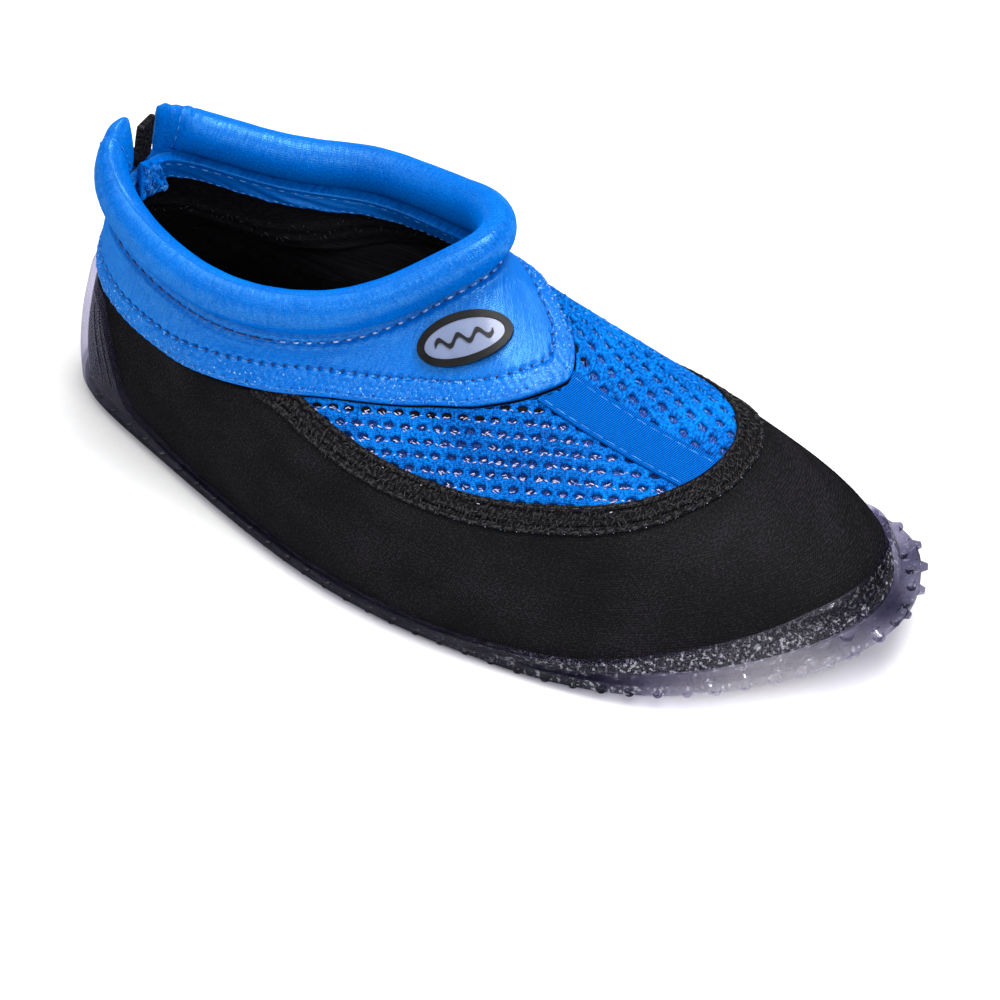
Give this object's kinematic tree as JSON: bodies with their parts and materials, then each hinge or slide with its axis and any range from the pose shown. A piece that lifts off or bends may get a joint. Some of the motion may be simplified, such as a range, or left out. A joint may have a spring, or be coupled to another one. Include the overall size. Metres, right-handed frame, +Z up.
{
  "type": "neoprene water shoe",
  "caption": "Low-cut neoprene water shoe for a right foot: stretch band and padded collar over a mesh vamp, studded clear outsole with heel cup, and a pull loop.",
  "frame": {"origin": "middle of the shoe's base on the ground", "axes": "+Y to the toe, +X to the outer (lateral) side of a right foot, +Z up"},
  "size_m": [0.1088, 0.2818, 0.1049],
  "materials": {
    "clear_sole": "clear moulded thermoplastic rubber, glossy, greyish lavender",
    "black_neoprene": "black neoprene with a fine jersey face",
    "blue_neoprene": "azure blue neoprene with a smooth stretch jersey face",
    "blue_mesh": "blue open knitted mesh",
    "vamp_lining": "thin knitted backing with pale threads",
    "blue_webbing": "ribbed blue polyester webbing with edge stitching",
    "black_webbing": "black flat webbing and seam tape",
    "foam": "closed-cell foam",
    "insole": "black foam insole with a knitted top",
    "board": "stitched fibre lasting board",
    "badge_rubber": "soft black moulded rubber",
    "badge_grey": "glossy grey plate",
    "badge_emblem": "raised dark wave"
  },
  "bodies": {
    "shoe": {"outsole": "clear_sole", "lasting_board": "board", "insole": "insole", "side_panel": "black_neoprene", "ankle_band": "blue_neoprene", "ankle_lining": "black_neoprene", "mesh_lateral": "blue_mesh", "mesh_medial": "blue_mesh", "vamp_lining": "vamp_lining", "centre_strip": "blue_webbing", "vamp_tape": "black_webbing", "heel_tape": "black_webbing", "collar_facing": "blue_neoprene", "collar_roll": "blue_neoprene", "collar_foam": "foam", "heel_gusset": "black_webbing", "badge_base": "badge_rubber", "badge_plate": "badge_grey", "badge_emblem": "badge_emblem"},
    "pull_loop": {"heel_loop": "black_webbing"}
  },
  "joints": [
    {"name": "pull_loop_flip", "type": "hinge", "parent": "shoe", "child": "pull_loop", "pos_m": [-0.00907, -0.12767, 0.07939], "axis": [-1, 0, 0], "range_deg": [0, 110]}
  ]
}
